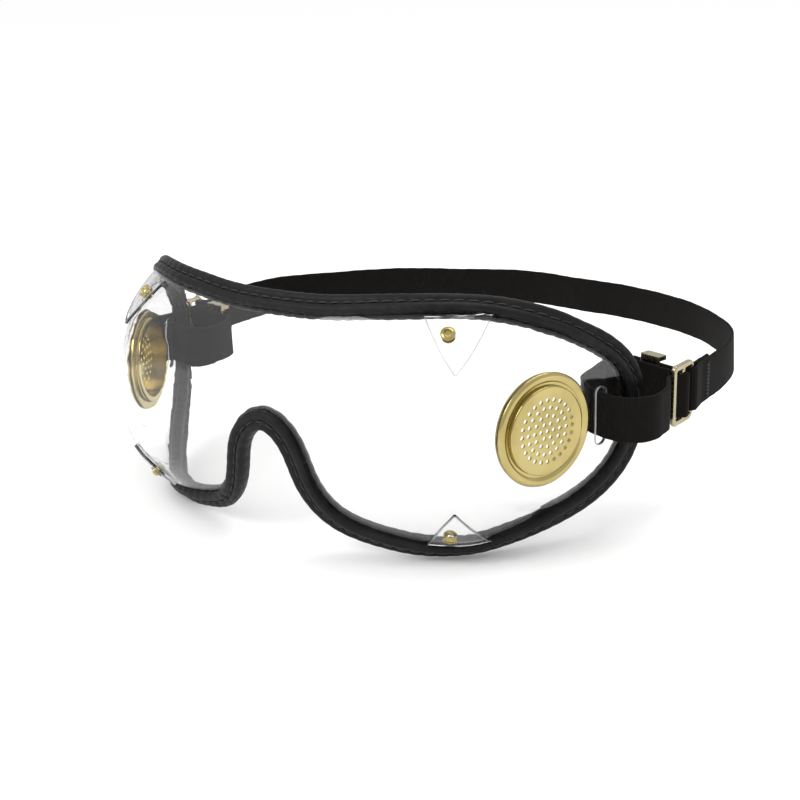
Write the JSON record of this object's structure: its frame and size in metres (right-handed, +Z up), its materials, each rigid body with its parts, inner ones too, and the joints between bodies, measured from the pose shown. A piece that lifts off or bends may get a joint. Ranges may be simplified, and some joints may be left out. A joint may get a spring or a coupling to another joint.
{
  "type": "jockey goggles",
  "caption": "Wraparound clear goggles with a stitched leather edge, perforated brass side vents, riveted darts and an elastic headband looped through slots.",
  "frame": {"origin": "midway between the centres of the two side vents, in the middle plane of the goggles", "axes": "+X towards the wearer's left ear, +Y from the lens towards the back of the head, +Z up towards the brow"},
  "size_m": [0.1821, 0.168, 0.0739],
  "materials": {
    "clear_sheet": "clear, polished",
    "binding_leather": "satin black",
    "foam": "matt black foam",
    "thread": "black thread",
    "brass": "satin pale brass",
    "elastic": "woven black elastic",
    "buckle_metal": "satin nickel"
  },
  "bodies": {
    "goggle_body": {"lens": "clear_sheet", "edge_binding": "binding_leather", "binding_foam": "foam", "binding_thread": "thread", "dart_rivets": "brass", "rivet_washers": "brass", "vent_bezel_right": "brass", "vent_screen_right": "brass", "vent_back_ring_right": "brass", "vent_bezel_left": "brass", "vent_screen_left": "brass", "vent_back_ring_left": "brass"},
    "headband": {"headband_elastic": "elastic", "strap_loop_right": "elastic", "slider_right": "buckle_metal", "end_stitches_right": "thread", "strap_loop_left": "elastic", "slider_left": "buckle_metal", "end_stitches_left": "thread"},
    "keeper_right": {"keeper_right": "buckle_metal"},
    "keeper_left": {"keeper_left": "buckle_metal"}
  },
  "joints": [
    {"name": "headband_swing", "type": "hinge", "parent": "goggle_body", "child": "headband", "pos_m": [0, 0.0183, -0.00035], "axis": [1, 0, 0], "range_deg": [-8, 8]},
    {"name": "keeper_right_slide", "type": "slide", "parent": "headband", "child": "keeper_right", "axis": [-0.9483, 0.3173, 0], "range_m": [-0.003, 0.003]},
    {"name": "keeper_left_slide", "type": "slide", "parent": "headband", "child": "keeper_left", "axis": [0.9792, -0.2028, 0], "range_m": [-0.003, 0.003]}
  ]
}
